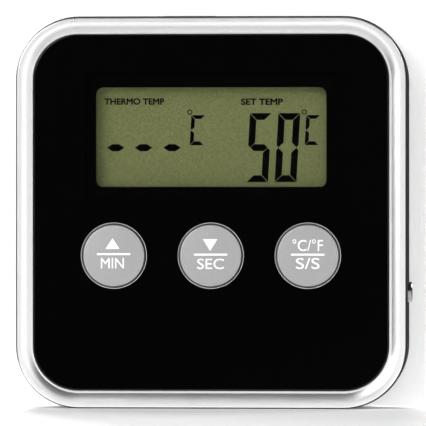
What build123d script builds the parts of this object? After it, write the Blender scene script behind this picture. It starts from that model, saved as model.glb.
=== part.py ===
from build123d import *
import os

# Display unit of a probe thermometer, standing upright on its flat bottom edge.
# Millimetres. X is to the right, Z is up, and the face looks towards -Y. The origin is on the
# bottom face, midway across and midway between the crest of the front ring and the back.

# ---- Driving dimensions ----------------------------------------------------------------------
case_side = 70.0  # rear shell, square
case_corner = 11.4
case_depth = 18.0  # ring crest to back face
wall = 1.3
back_thick = 1.5
back_round = 4.0

bezel_side = 69.4
bezel_corner = 11.1
bezel_edge = 0.2  # rounding of the ring's outer edge
ring_flat = 0.75  # from the outside: flat crest, rounded slope, narrow ledge
ring_slope = 1.75
ring_ledge = 0.35
ring_rise = 0.5  # crest above ledge
bezel_skin = 1.6  # depth of silver seen from the side
groove = 0.35  # shadow gap between bezel and rear shell
deck_thick = 1.2
skirt_thick = 1.2
skirt_back_y = -3.5

panel_side = 63.5
panel_corner = 8.0
panel_thick = 1.2
panel_proud = 0.1
panel_chamfer = 0.25
panel_rim_chamfer = 0.12  # round the button holes
print_gap = 0.02
print_thick = 0.08
glue_thick = 0.1
glue_inset = 0.4
glue_width = 2.6

window_width = 41.1
window_height = 17.8
window_corner = 1.3
window_z = 48.4

button_pitch = 17.3
button_z = 27.3
button_radius = 5.5
button_proud = 0.2  # beyond the ring's crest
button_travel = 0.6
button_hole_radius = 5.78
deck_hole_radius = 6.1  # under the sheet, so the print's edge hides it
flange_radius = 6.6
flange_thick = 0.8

board_front_y = -1.5
board_thick = 1.2

jack_z = 20.8
jack_y = -3.7
plug_radius = 1.3  # socket wall for a 2.5 mm plug
ferrule_radius = 1.8
ferrule_proud = 0.75

knob_length = 9.6
knob_depth = 3.5
knob_x = -4.4
knob_y = 1.7
knob_proud = 0.35
knob_travel = 3.0

cell_radius = 5.25  # AAA cell
cell_length = 44.5
cell_tip_length = 1.2
cell_tip_radius = 1.9
cell_y = 1.95
cell_z = 11.0

moving_gap = 0.3
fit_gap = 0.05
cross_length = 2.0  # cross-head driver recess
cross_width = 0.5

# ---- Derived places --------------------------------------------------------------------------
mid_z = case_side / 2
crest_y = -case_depth / 2
back_y = case_depth / 2
ledge_y = crest_y + ring_rise
panel_y = ledge_y - panel_proud
print_y = panel_y + panel_thick + print_gap
glue_y = print_y + print_thick
deck_y = glue_y + glue_thick
deck_back_y = deck_y + deck_thick
bezel_back_y = crest_y + bezel_skin
shell_front_y = bezel_back_y + groove
inner_back_y = back_y - back_thick
board_back_y = board_front_y + board_thick

inner_side = case_side - 2 * wall
inner_corner = case_corner - wall
skirt_gap = 0.1
skirt_side = inner_side - 2 * skirt_gap
skirt_corner = inner_corner - skirt_gap
panel_gap = 0.1
pocket_side = panel_side + 2 * panel_gap
pocket_corner = panel_corner + panel_gap

button_names = ("min", "sec", "start")
button_x = (-button_pitch, 0, button_pitch)
button_centres = [(x, button_z) for x in button_x]
button_front_y = crest_y - button_proud
flange_y = deck_back_y + moving_gap
flange_back_y = flange_y + flange_thick

os.makedirs("parts", exist_ok=True)


# ---- Helpers ---------------------------------------------------------------------------------
def face_at(y):
    """Plane parallel to the face, with its normal out of the front, at depth y."""
    return Plane(origin=(0, y, 0), x_dir=(1, 0, 0), z_dir=(0, -1, 0))


def slab(front, back, width, height, centre, corner=0.0, mode=Mode.ADD):
    """A plate parallel to the face between two depths, centred on (x, z)."""
    with BuildSketch(face_at(back)) as outline:
        with Locations(centre):
            if corner:
                RectangleRounded(width, height, corner)
            else:
                Rectangle(width, height)
    extrude(outline.sketch, amount=back - front, mode=mode)


def discs(front, back, radius, centres, mode=Mode.ADD):
    """Round posts or holes square to the face between two depths."""
    with BuildSketch(face_at(back)) as outline:
        with Locations(*centres):
            Circle(radius)
    extrude(outline.sketch, amount=back - front, mode=mode)


def rod_x(left, right, radius, y, z, mode=Mode.ADD):
    """A round bar or hole along X."""
    with BuildSketch(Plane(origin=(left, y, z), x_dir=(0, 1, 0), z_dir=(1, 0, 0))) as outline:
        Circle(radius)
    extrude(outline.sketch, amount=right - left, mode=mode)


def block(low, high, mode=Mode.ADD):
    """A box between two opposite corners."""
    centre = tuple((a + b) / 2 for a, b in zip(low, high))
    size = [b - a for a, b in zip(low, high)]
    with Locations(centre):
        Box(*size, mode=mode)


def cross_recess(front, back, centres):
    """Cross-head driver slots cut into screw heads."""
    for centre in centres:
        slab(front, back, cross_length, cross_width, centre, mode=Mode.SUBTRACT)
        slab(front, back, cross_width, cross_length, centre, mode=Mode.SUBTRACT)


def save(builder, name):
    builder.part.label = name
    export_step(builder.part, "parts/" + name + ".step")


# ---- Front bezel: silver ring, deck under the panel, skirt and screw posts -------------------
case_screws_at = [(-29.4, 11.5), (29.4, 11.5), (-27.5, 62.0), (27.5, 62.0)]
case_post_radius = 2.4
case_post_back_y = board_back_y
board_screws_at = [(-27.6, 33.0), (27.6, 33.0), (-27.6, 52.0), (27.6, 52.0)]
board_post_radius = 2.1
case_pilot_radius = 1.0
case_pilot_y = deck_back_y + 1.4
board_pilot_radius = 0.85
board_pilot_y = deck_back_y + 1.0
deck_inset = 1.0
deck_opening_width = 43.0
deck_opening_height = 19.7
deck_opening_corner = 1.0
jack_notch_x = 31.0
jack_notch_half = 2.9

ring_out = mid_z - bezel_side / 2  # z of the bottom rail's outer edge
slope_start = ring_out + ring_flat
ledge_start = slope_start + ring_slope
pocket_edge = ledge_start + ring_ledge
slope_radius = (ring_slope**2 + ring_rise**2) / (2 * ring_rise)

with BuildPart() as front_bezel:
    half = bezel_side / 2
    reach = half - bezel_corner
    corners = [(reach, -reach), (reach, reach), (-reach, reach), (-reach, -reach)]
    with BuildLine(face_at(crest_y)) as ring_path:
        Line((0, mid_z - half), (reach, mid_z - half))
        for turn, (x, z) in enumerate(corners):
            bend = CenterArc((x, mid_z + z), bezel_corner, 90 * turn - 90, 90)
            run = (reach if turn == 3 else 2 * reach) * (bend % 1)
            Line(bend @ 1, (bend @ 1) + run)
    with BuildSketch(Plane.YZ) as ring_section:
        with BuildLine():
            edge_back = Line((bezel_back_y, pocket_edge), (bezel_back_y, ring_out))
            outer_side = Line(edge_back @ 1, (crest_y + bezel_edge, ring_out))
            outer_edge = RadiusArc(outer_side @ 1, (crest_y, ring_out + bezel_edge), bezel_edge)
            crest = Line(outer_edge @ 1, (crest_y, slope_start))
            slope = TangentArc(crest @ 1, (ledge_y, ledge_start), tangent=(0, 1))
            ledge = Line(slope @ 1, (ledge_y, pocket_edge))
            Line(ledge @ 1, edge_back @ 0)
        make_face()
    sweep(sections=ring_section.sketch, path=ring_path.line)
    deck_side = bezel_side - 2 * deck_inset
    slab(deck_y, bezel_back_y, deck_side, deck_side, (0, mid_z), bezel_corner - deck_inset)
    slab(bezel_back_y, deck_back_y, skirt_side, skirt_side, (0, mid_z), skirt_corner)
    slab(deck_back_y, skirt_back_y, skirt_side, skirt_side, (0, mid_z), skirt_corner)
    inside = skirt_side - 2 * skirt_thick
    slab(
        deck_back_y,
        skirt_back_y,
        inside,
        inside,
        (0, mid_z),
        skirt_corner - skirt_thick,
        mode=Mode.SUBTRACT,
    )
    slab(crest_y, deck_y, pocket_side, pocket_side, (0, mid_z), pocket_corner, mode=Mode.SUBTRACT)
    discs(deck_back_y, case_post_back_y, case_post_radius, case_screws_at)
    discs(case_pilot_y, case_post_back_y, case_pilot_radius, case_screws_at, mode=Mode.SUBTRACT)
    discs(deck_back_y, board_front_y, board_post_radius, board_screws_at)
    discs(board_pilot_y, board_front_y, board_pilot_radius, board_screws_at, mode=Mode.SUBTRACT)
    slab(
        crest_y,
        deck_back_y,
        deck_opening_width,
        deck_opening_height,
        (0, window_z),
        deck_opening_corner,
        mode=Mode.SUBTRACT,
    )
    discs(crest_y, deck_back_y, deck_hole_radius, button_centres, mode=Mode.SUBTRACT)
    block(
        (jack_notch_x, deck_back_y, jack_z - jack_notch_half),
        (mid_z - wall, skirt_back_y, jack_z + jack_notch_half),
        mode=Mode.SUBTRACT,
    )
save(front_bezel, "front_bezel")

# ---- Front panel: clear acrylic sheet with the black print behind it -------------------------
with BuildPart() as front_panel:
    slab(panel_y, panel_y + panel_thick, panel_side, panel_side, (0, mid_z), panel_corner)
    chamfer(front_panel.faces().sort_by(Axis.Y)[0].outer_wire().edges(), panel_chamfer)
    discs(panel_y, panel_y + panel_thick, button_hole_radius, button_centres, mode=Mode.SUBTRACT)
    rims = front_panel.faces().sort_by(Axis.Y)[0].inner_wires()
    chamfer([edge for rim in rims for edge in rim.edges()], panel_rim_chamfer)
save(front_panel, "front_panel")

with BuildPart() as panel_print:
    slab(print_y, glue_y, panel_side, panel_side, (0, mid_z), panel_corner)
    slab(
        print_y,
        glue_y,
        window_width,
        window_height,
        (0, window_z),
        window_corner,
        mode=Mode.SUBTRACT,
    )
    discs(print_y, glue_y, button_hole_radius, button_centres, mode=Mode.SUBTRACT)
save(panel_print, "panel_print")

with BuildPart() as panel_adhesive:
    outer = panel_side - 2 * glue_inset
    inner = outer - 2 * glue_width
    outer_corner = panel_corner - glue_inset
    slab(glue_y, deck_y, outer, outer, (0, mid_z), outer_corner)
    slab(glue_y, deck_y, inner, inner, (0, mid_z), outer_corner - glue_width, mode=Mode.SUBTRACT)
save(panel_adhesive, "panel_adhesive")

# ---- Liquid crystal display ------------------------------------------------------------------
glass_thick = 0.7
cell_gap = 0.1
glass_width = 47.0
front_glass_height = 25.0
rear_glass_height = 21.9
seal_side_width = 1.2
seal_end_width = 0.6
seal_corner = 0.5
reflector_inset = 0.3
seat_gap = 0.1
lcd_y = deck_back_y + seat_gap
seal_y = lcd_y + glass_thick
rear_glass_y = seal_y + cell_gap
reflector_y = rear_glass_y + glass_thick
reflector_thick = 0.2
reflector_back_y = reflector_y + reflector_thick
holder_width = 50.0
holder_height = 28.4
rear_glass_z = window_z + (front_glass_height - rear_glass_height) / 2
rear_glass_centre = (0, rear_glass_z)

with BuildPart() as lcd_front_glass:
    slab(lcd_y, seal_y, glass_width, front_glass_height, (0, window_z))
save(lcd_front_glass, "lcd_front_glass")

with BuildPart() as lcd_seal:
    slab(seal_y, rear_glass_y, glass_width, rear_glass_height, rear_glass_centre)
    slab(
        seal_y,
        rear_glass_y,
        glass_width - 2 * seal_side_width,
        rear_glass_height - 2 * seal_end_width,
        rear_glass_centre,
        seal_corner,
        mode=Mode.SUBTRACT,
    )
save(lcd_seal, "lcd_seal")

with BuildPart() as lcd_rear_glass:
    slab(rear_glass_y, reflector_y, glass_width, rear_glass_height, rear_glass_centre)
save(lcd_rear_glass, "lcd_rear_glass")

with BuildPart() as lcd_reflector:
    slab(
        reflector_y,
        reflector_back_y,
        glass_width - 2 * reflector_inset,
        rear_glass_height - 2 * reflector_inset,
        rear_glass_centre,
    )
save(lcd_reflector, "lcd_reflector")

zebra_height = 2.0
zebra_width = 40.0
zebra_corner = 0.3
zebra_side_gap = 0.3
zebra_end_gap = 0.15
zebra_z = window_z - front_glass_height / 2 + 1.4
holder_corner = 1.0
holder_rest = 1.5  # how far the holder reaches in behind the glass
holder_rest_side = 2.5

with BuildPart() as lcd_holder:
    slab(lcd_y, board_front_y, holder_width, holder_height, (0, window_z), holder_corner)
    slab(
        lcd_y,
        reflector_back_y,
        glass_width + 2 * seat_gap,
        front_glass_height + 2 * seat_gap,
        (0, window_z),
        mode=Mode.SUBTRACT,
    )
    slab(
        lcd_y,
        board_front_y,
        glass_width - 2 * holder_rest_side,
        rear_glass_height - 2 * holder_rest,
        rear_glass_centre,
        holder_corner,
        mode=Mode.SUBTRACT,
    )
    slab(
        lcd_y,
        board_front_y,
        zebra_width + 2 * zebra_side_gap,
        zebra_height + 2 * zebra_end_gap,
        (0, zebra_z),
        mode=Mode.SUBTRACT,
    )
save(lcd_holder, "lcd_holder")

with BuildPart() as zebra_strip:
    slab(seal_y, board_front_y, zebra_width, zebra_height, (0, zebra_z), zebra_corner)
save(zebra_strip, "zebra_strip")

# ---- Circuit board and what is soldered to it ------------------------------------------------
board_half_width = 32.0
board_low_z = 18.9
board_top_z = 64.5
board_top_corner = 8.5
board_low_corner = 1.0
board_screw_hole_radius = 1.0
board_centre = (0, (board_low_z + board_top_z) / 2)

with BuildPart() as main_board:
    with BuildSketch(face_at(board_back_y)) as board_outline:
        with Locations(board_centre):
            Rectangle(2 * board_half_width, board_top_z - board_low_z)
        fillet(board_outline.vertices().group_by(Axis.Z)[-1], board_top_corner)
        fillet(board_outline.vertices().group_by(Axis.Z)[0], board_low_corner)
        with Locations(*case_screws_at):
            Circle(case_post_radius + moving_gap, mode=Mode.SUBTRACT)
        with Locations(*board_screws_at):
            Circle(board_screw_hole_radius, mode=Mode.SUBTRACT)
    extrude(amount=board_thick)
save(main_board, "main_board")

blob_radius = 4.5
blob_rise = 1.5
blob_z = 46.0

with BuildPart() as controller_blob:
    with BuildSketch(Plane.XY) as blob_section:
        with BuildLine():
            base = Line((0, 0), (blob_radius, 0))
            dome = Spline(base @ 1, (blob_radius * 0.6, blob_rise * 0.8), (0, blob_rise))
            Line(dome @ 1, base @ 0)
        make_face()
    revolve(axis=Axis.Y)
controller_blob.part = controller_blob.part.moved(Location((0, board_back_y, blob_z)))
save(controller_blob, "controller_blob")

chip_z_rows = (36.0, 38.4)
chip_columns = (-9.0, -6.4, -3.8, 3.8, 6.4, 9.0)
chip_length = 1.6
chip_width = 0.9
chip_rise = 0.6
capacitor_centre = (-17.0, 37.0)
capacitor_radius = 2.0
capacitor_rise = 3.6

with BuildPart() as board_components:
    for row_z in chip_z_rows:
        for column_x in chip_columns:
            slab(board_back_y, board_back_y + chip_rise, chip_length, chip_width, (column_x, row_z))
    discs(board_back_y, board_back_y + capacitor_rise, capacitor_radius, [capacitor_centre])
save(board_components, "board_components")

crystal_radius = 1.0
crystal_length = 6.0
crystal_x = 9.0
crystal_low_z = 42.5
crystal_y = board_back_y + crystal_radius + fit_gap
crystal_end_round = 0.3

with BuildPart() as clock_crystal:
    with BuildSketch(Plane.XY.offset(crystal_low_z)) as crystal_section:
        with Locations((crystal_x, crystal_y)):
            Circle(crystal_radius)
    extrude(amount=crystal_length)
    fillet(clock_crystal.edges().group_by(Axis.Z)[-1], crystal_end_round)
save(clock_crystal, "clock_crystal")

buzzer_centre = (9.0, 59.6)
buzzer_radius = 4.4
buzzer_rise = 4.0
buzzer_round = 0.4
buzzer_lid = 1.0
buzzer_hole_radius = 0.8

with BuildPart() as buzzer_can:
    buzzer_back_y = board_back_y + buzzer_rise
    discs(board_back_y, buzzer_back_y, buzzer_radius, [buzzer_centre])
    fillet(buzzer_can.faces().sort_by(Axis.Y)[-1].edges(), buzzer_round)
    discs(board_back_y + buzzer_lid, buzzer_back_y, buzzer_hole_radius, [buzzer_centre], mode=Mode.SUBTRACT)
save(buzzer_can, "buzzer_can")

tact_side = 6.0
tact_corner = 0.5
tact_front_y = flange_back_y + button_travel + moving_gap
plunger_radius = 1.3
plunger_gap = 0.4
plunger_round = 0.3
plunger_reach = 0.9  # into the switch at rest
plunger_back_y = tact_front_y + plunger_reach
tact_hole_back_y = plunger_back_y + button_travel + plunger_gap

with BuildPart() as tact_switches:
    for centre in button_centres:
        slab(tact_front_y, board_front_y, tact_side, tact_side, centre, tact_corner)
    discs(
        tact_front_y,
        tact_hole_back_y,
        plunger_radius + plunger_gap,
        button_centres,
        mode=Mode.SUBTRACT,
    )
save(tact_switches, "tact_switches")

# ---- Push buttons: a domed cap with a retaining flange, and the switch plunger it presses -----
cap_crown = 0.15
cap_edge = 0.18
cap_skin = 1.3
cap_thick = 1.6

for name, x in zip(button_names, button_x):
    with BuildPart() as button:
        with BuildSketch(Plane.XY) as cap_section:
            with BuildLine():
                front_arc = ThreePointArc(
                    (0, button_front_y),
                    (button_radius * 0.5, button_front_y + cap_crown * 0.25),
                    (button_radius - cap_edge, button_front_y + cap_crown),
                )
                edge_arc = TangentArc(
                    front_arc @ 1,
                    (button_radius, button_front_y + cap_crown + cap_edge),
                    tangent=front_arc % 1,
                )
                Polyline(
                    edge_arc @ 1,
                    (button_radius, flange_y),
                    (flange_radius, flange_y),
                    (flange_radius, flange_back_y),
                    (button_radius - cap_skin, flange_back_y),
                    (button_radius - cap_skin, button_front_y + cap_thick),
                    (plunger_radius + plunger_gap, button_front_y + cap_thick),
                    (plunger_radius + plunger_gap, flange_back_y),
                    (0, flange_back_y),
                    front_arc @ 0,
                )
            make_face()
        revolve(axis=Axis.Y)
    button.part = button.part.moved(Location((x, 0, button_z)))
    save(button, name + "_button")

    with BuildPart() as plunger:
        discs(flange_back_y, plunger_back_y, plunger_radius, [(x, button_z)])
        fillet(plunger.faces().sort_by(Axis.Y)[-1].edges(), plunger_round)
    save(plunger, name + "_plunger")

# ---- Probe socket ----------------------------------------------------------------------------
jack_in_x = 26.2
jack_mouth_x = 33.2
jack_height = 4.2
jack_front_y = deck_back_y + seat_gap
ferrule_chamfer = 0.15
contact_strip = 0.2
contact_half_depth = 0.8
contact_in = 1.0
contact_out = 2.5
ferrule_end_x = case_side / 2 + ferrule_proud

with BuildPart() as jack_body:
    block(
        (jack_in_x, jack_front_y, jack_z - jack_height / 2),
        (jack_mouth_x, board_front_y, jack_z + jack_height / 2),
    )
    rod_x(jack_in_x, jack_mouth_x, plug_radius, jack_y, jack_z, mode=Mode.SUBTRACT)
save(jack_body, "jack_body")

with BuildPart() as jack_ferrule:
    rod_x(jack_mouth_x, ferrule_end_x, ferrule_radius, jack_y, jack_z)
    rod_x(jack_mouth_x, ferrule_end_x, plug_radius, jack_y, jack_z, mode=Mode.SUBTRACT)
    chamfer(jack_ferrule.faces().sort_by(Axis.X)[-1].outer_wire().edges(), ferrule_chamfer)
save(jack_ferrule, "jack_ferrule")

with BuildPart() as jack_contacts:
    for side in (-1, 1):
        strip_z = jack_z + side * (jack_height / 2 + print_gap + contact_strip / 2)
        block(
            (jack_in_x + contact_in, jack_y - contact_half_depth, strip_z - contact_strip / 2),
            (jack_mouth_x - contact_out, board_front_y, strip_z + contact_strip / 2),
        )
save(jack_contacts, "jack_contacts")

# ---- Mode slide switch on the top edge -------------------------------------------------------
knob_base_gap = 0.4
knob_base_thick = 1.0
knob_base_lip = 1.3
knob_corner = 0.5
knob_edge = 0.12
knob_ribs = 3  # grip grooves each side of the middle one
rib_pitch = 1.15
rib_width = 0.4
rib_depth = 0.3
rib_inset = 0.4
top_wall_z = case_side - wall
knob_base_top_z = top_wall_z - knob_base_gap
knob_base_low_z = knob_base_top_z - knob_base_thick
knob_top_z = case_side + knob_proud
knob_left = knob_x - knob_length / 2
knob_right = knob_x + knob_length / 2
knob_front = knob_y - knob_depth / 2
knob_back = knob_y + knob_depth / 2
slot_gap = 0.35

with BuildPart() as switch_knob:
    block((knob_left, knob_front, knob_base_top_z), (knob_right, knob_back, knob_top_z))
    fillet(switch_knob.edges().filter_by(Axis.Z), knob_corner)
    fillet(switch_knob.faces().sort_by(Axis.Z)[-1].edges(), knob_edge)
    block(
        (knob_left - knob_travel, knob_front - knob_base_lip, knob_base_low_z),
        (knob_right + knob_travel, knob_back + knob_base_lip, knob_base_top_z),
    )
    for step in range(-knob_ribs, knob_ribs + 1):
        rib_x = knob_x + step * rib_pitch
        block(
            (rib_x - rib_width / 2, knob_front + rib_inset, knob_top_z - rib_depth),
            (rib_x + rib_width / 2, knob_back - rib_inset, knob_top_z),
            mode=Mode.SUBTRACT,
        )
save(switch_knob, "switch_knob")

switch_low_z = 62.3
switch_top_z = 66.3
switch_mid_x = knob_x + knob_travel / 2
switch_half_length = 4.5
switch_skin = 0.5
switch_rise = 4.0
switch_back_y = board_back_y + switch_rise
slider_half_length = 1.6
slider_half_depth = 1.1
slider_gap = 0.4
lever_half_length = 1.0
lever_half_depth = 0.5

with BuildPart() as switch_frame:
    block(
        (switch_mid_x - switch_half_length, board_back_y, switch_low_z),
        (switch_mid_x + switch_half_length, switch_back_y, switch_top_z),
    )
    cavity_half = switch_half_length - switch_skin
    block(
        (switch_mid_x - cavity_half, board_back_y + switch_skin, switch_low_z + switch_skin),
        (switch_mid_x + cavity_half, switch_back_y - switch_skin, switch_top_z - switch_skin),
        mode=Mode.SUBTRACT,
    )
    lever_reach = knob_travel / 2 + lever_half_length + slider_gap
    lever_slot = lever_half_depth + moving_gap
    block(
        (switch_mid_x - lever_reach, knob_y - lever_slot, switch_top_z - switch_skin),
        (switch_mid_x + lever_reach, knob_y + lever_slot, switch_top_z),
        mode=Mode.SUBTRACT,
    )
save(switch_frame, "switch_frame")

with BuildPart() as switch_slider:
    slider_inset = switch_skin + slider_gap
    block(
        (knob_x - slider_half_length, knob_y - slider_half_depth, switch_low_z + slider_inset),
        (knob_x + slider_half_length, knob_y + slider_half_depth, switch_top_z - slider_inset),
    )
    block(
        (knob_x - lever_half_length, knob_y - lever_half_depth, switch_top_z - slider_inset),
        (knob_x + lever_half_length, knob_y + lever_half_depth, knob_base_low_z),
    )
save(switch_slider, "switch_slider")

# ---- Rear shell ------------------------------------------------------------------------------
case_boss_radius = 3.1
case_head_y = 4.0  # seat of the case screw heads
case_head_hole_radius = 2.2
case_shank_hole_radius = 1.2
inner_round = 1.5  # step inside the rounded back edge

bay_half_length = 24.4  # battery bay, inside
bay_low_z = 4.5
bay_top_z = 17.5
bay_end_wall = 1.6
bay_side_wall = 1.3
bay_floor_thick = 0.8
bay_floor_y = cell_y - cell_radius - moving_gap

door_half_length = 25.7
door_low_z = 4.0
door_top_z = 18.0
door_thick = 1.3
door_seat_y = back_y - door_thick - moving_gap
hinge_round = 1.1
door_axis_y = back_y - hinge_round
door_axis_z = door_top_z - hinge_round
door_pin_radius = 0.65
door_pin_length = 1.2
door_pin_root = 0.5
hinge_boss_x = 27.0
hinge_boss_half_length = 1.1
hinge_boss_half = 1.6
hinge_swing = hinge_round + moving_gap  # room for the door's upper edge to turn in

tab_slot_x = 25.5
tab_slot_half_length = 1.8
tab_slot_y = (1.0, 2.0)
tab_slot_z = (14.6, 17.0)

stand_half_width = 10.6
stand_low_z = 20.8
stand_axis_z = 52.0
stand_knuckle = 1.2
stand_axis_y = back_y - stand_knuckle
stand_pin_radius = 0.7
stand_pin_reach = 1.4
recess_gap = 0.4
recess_half_width = stand_half_width + recess_gap
recess_low_z = stand_low_z - 0.5
recess_top_z = stand_axis_z + stand_knuckle + recess_gap
recess_floor_y = back_y - 2.8
recess_side_wall = 1.7
recess_top_wall = 1.4
pocket_floor = 1.2

magnet_centres = [(-22.0, 44.0), (22.0, 44.0)]
magnet_radius = 5.0
magnet_gap = 0.1
magnet_wall = 1.3
magnet_pocket_y = back_y - 2.0

jack_hole_gap = 0.5
jack_hole_x = 32.0
sound_slots = 1  # slots each side of the middle one
sound_slot_pitch = 2.0
sound_slot_width = 1.0
sound_slot_height = 4.6
sound_slot_corner = 0.49
sound_slot_lift = 0.6

with BuildPart() as rear_shell:
    slab(shell_front_y, back_y, case_side, case_side, (0, mid_z), case_corner)
    fillet(rear_shell.faces().sort_by(Axis.Y)[-1].edges(), back_round)
    step_side = inner_side - 2 * inner_round
    step_y = inner_back_y - inner_round
    slab(step_y, inner_back_y, step_side, step_side, (0, mid_z), inner_corner - inner_round, Mode.SUBTRACT)
    slab(shell_front_y, step_y, inner_side, inner_side, (0, mid_z), inner_corner, Mode.SUBTRACT)
    # battery bay, stand recess, hinge, magnet and screw bosses
    block(
        (-bay_half_length - bay_end_wall, bay_floor_y - bay_floor_thick, bay_low_z - bay_side_wall),
        (bay_half_length + bay_end_wall, inner_back_y, bay_top_z + bay_side_wall),
    )
    block(
        (-recess_half_width - recess_side_wall, recess_floor_y - pocket_floor, bay_top_z),
        (recess_half_width + recess_side_wall, inner_back_y, recess_top_z + recess_top_wall),
    )
    for side in (-1, 1):
        block(
            (
                side * hinge_boss_x - hinge_boss_half_length,
                door_axis_y - hinge_boss_half,
                door_axis_z - hinge_boss_half,
            ),
            (
                side * hinge_boss_x + hinge_boss_half_length,
                inner_back_y,
                door_axis_z + hinge_boss_half,
            ),
        )
    discs(magnet_pocket_y - pocket_floor, inner_back_y, magnet_radius + magnet_wall, magnet_centres)
    discs(case_post_back_y + 2 * skirt_gap, inner_back_y, case_boss_radius, case_screws_at)
    # battery bay, with a seat for the door and room for its upper edge to turn
    block(
        (-bay_half_length, bay_floor_y, bay_low_z),
        (bay_half_length, back_y, bay_top_z),
        mode=Mode.SUBTRACT,
    )
    door_room = door_half_length + moving_gap
    block(
        (-door_room, door_seat_y, door_low_z - moving_gap),
        (door_room, back_y, door_top_z + moving_gap),
        mode=Mode.SUBTRACT,
    )
    block(
        (-door_room, door_axis_y - hinge_swing, door_axis_z - hinge_swing),
        (door_room, back_y, door_top_z + moving_gap),
        mode=Mode.SUBTRACT,
    )
    pin_room = door_room + door_pin_length
    rod_x(-pin_room, pin_room, door_pin_radius + fit_gap, door_axis_y, door_axis_z, mode=Mode.SUBTRACT)
    for side in (-1, 1):
        block(
            (side * tab_slot_x - tab_slot_half_length, tab_slot_y[0], tab_slot_z[0]),
            (side * tab_slot_x + tab_slot_half_length, tab_slot_y[1], tab_slot_z[1]),
            mode=Mode.SUBTRACT,
        )
    # stand recess and the hole for its pin, magnet pockets and screw holes
    block(
        (-recess_half_width, recess_floor_y, recess_low_z),
        (recess_half_width, back_y, recess_top_z),
        mode=Mode.SUBTRACT,
    )
    pin_hole = recess_half_width + stand_pin_reach + 0.1
    rod_x(-pin_hole, pin_hole, stand_pin_radius, stand_axis_y, stand_axis_z, mode=Mode.SUBTRACT)
    discs(magnet_pocket_y, back_y, magnet_radius + magnet_gap, magnet_centres, mode=Mode.SUBTRACT)
    discs(case_head_y, back_y, case_head_hole_radius, case_screws_at, mode=Mode.SUBTRACT)
    discs(case_post_back_y, case_head_y, case_shank_hole_radius, case_screws_at, mode=Mode.SUBTRACT)
    # openings in the walls: probe socket, slide switch and sound slots
    rod_x(jack_hole_x, mid_z, ferrule_radius + jack_hole_gap, jack_y, jack_z, mode=Mode.SUBTRACT)
    block(
        (knob_left - slot_gap, knob_front - slot_gap, top_wall_z - knob_base_gap),
        (knob_right + knob_travel + slot_gap, knob_back + slot_gap, case_side),
        mode=Mode.SUBTRACT,
    )
    for step in range(-sound_slots, sound_slots + 1):
        slot_x = buzzer_centre[0] + sound_slot_pitch * step
        slot_centre = (slot_x, buzzer_centre[1] + sound_slot_lift)
        slab(
            step_y,
            back_y,
            sound_slot_width,
            sound_slot_height,
            slot_centre,
            sound_slot_corner,
            mode=Mode.SUBTRACT,
        )
save(rear_shell, "rear_shell")

# ---- Battery door ----------------------------------------------------------------------------
lip_x = 12.0
lip_half_length = 2.5
lip_reach = 2.2
lip_z = (bay_low_z + 0.4, bay_low_z + 1.2)
grip_depth = 0.4
door_grips = 3
door_grip_half_length = 5.0
door_grip_pitch = 1.3
door_grip_width = 0.6
door_grip_z = door_low_z + 2.6

with BuildPart() as battery_door:
    door_front_y = back_y - door_thick
    block((-door_half_length, door_front_y, door_low_z), (door_half_length, back_y, door_top_z))
    outer_edges = battery_door.edges().filter_by(Axis.X).group_by(Axis.Y)[-1]
    fillet(outer_edges.sort_by(Axis.Z)[-1], hinge_round)
    for side in (-1, 1):
        block(
            (side * lip_x - lip_half_length, door_front_y - lip_reach, lip_z[0]),
            (side * lip_x + lip_half_length, door_front_y, lip_z[1]),
        )
    for step in range(door_grips):
        groove_z = door_grip_z + door_grip_pitch * step
        block(
            (-door_grip_half_length, back_y - grip_depth, groove_z),
            (door_grip_half_length, back_y, groove_z + door_grip_width),
            mode=Mode.SUBTRACT,
        )
    for side in (-1, 1):
        root_x = side * (door_half_length - door_pin_root)
        end_x = side * (door_half_length + door_pin_length)
        rod_x(min(root_x, end_x), max(root_x, end_x), door_pin_radius, door_axis_y, door_axis_z)
save(battery_door, "battery_door")

# ---- Battery and its contacts ----------------------------------------------------------------
cell_end_gap = 0.5
cell_edge = 0.4
cell_tip_edge = 0.3
cell_negative_x = bay_half_length - cell_end_gap - cell_length
cell_shoulder_x = cell_negative_x + cell_length - cell_tip_length
plate_thick = 0.4
plate_x = bay_half_length - fit_gap
plate_y = (-2.5, 6.0)
plate_z = (6.5, 16.8)
tab_y = (1.3, 1.7)
tab_low_z = 14.8
tab_reach = 3.0

with BuildPart() as battery_can:
    rod_x(cell_negative_x, cell_shoulder_x, cell_radius, cell_y, cell_z)
    fillet(battery_can.edges().filter_by(GeomType.CIRCLE), cell_edge)
save(battery_can, "battery_can")

with BuildPart() as battery_tip:
    rod_x(cell_shoulder_x, cell_shoulder_x + cell_tip_length, cell_tip_radius, cell_y, cell_z)
    fillet(battery_tip.faces().sort_by(Axis.X)[-1].edges(), cell_tip_edge)
save(battery_tip, "battery_tip")


def contact_plate(side, name):
    """A spring-steel plate against the end wall of the bay, with its solder tab."""
    inner_x = side * (plate_x - plate_thick)
    outer_x = side * plate_x
    tab_x = side * (bay_half_length + tab_reach)
    with BuildPart() as contact:
        block(
            (min(inner_x, outer_x), plate_y[0], plate_z[0]),
            (max(inner_x, outer_x), plate_y[1], plate_z[1]),
        )
        block(
            (min(inner_x, tab_x), tab_y[0], tab_low_z),
            (max(inner_x, tab_x), tab_y[1], plate_z[1]),
        )
    save(contact, name)


contact_plate(1, "positive_contact")
contact_plate(-1, "negative_contact")

spring_wire = 0.25
spring_radius = 3.4
spring_turns = 3.5
spring_start_x = -plate_x + plate_thick + spring_wire + fit_gap
spring_length = cell_negative_x - spring_wire - fit_gap - spring_start_x

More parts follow.
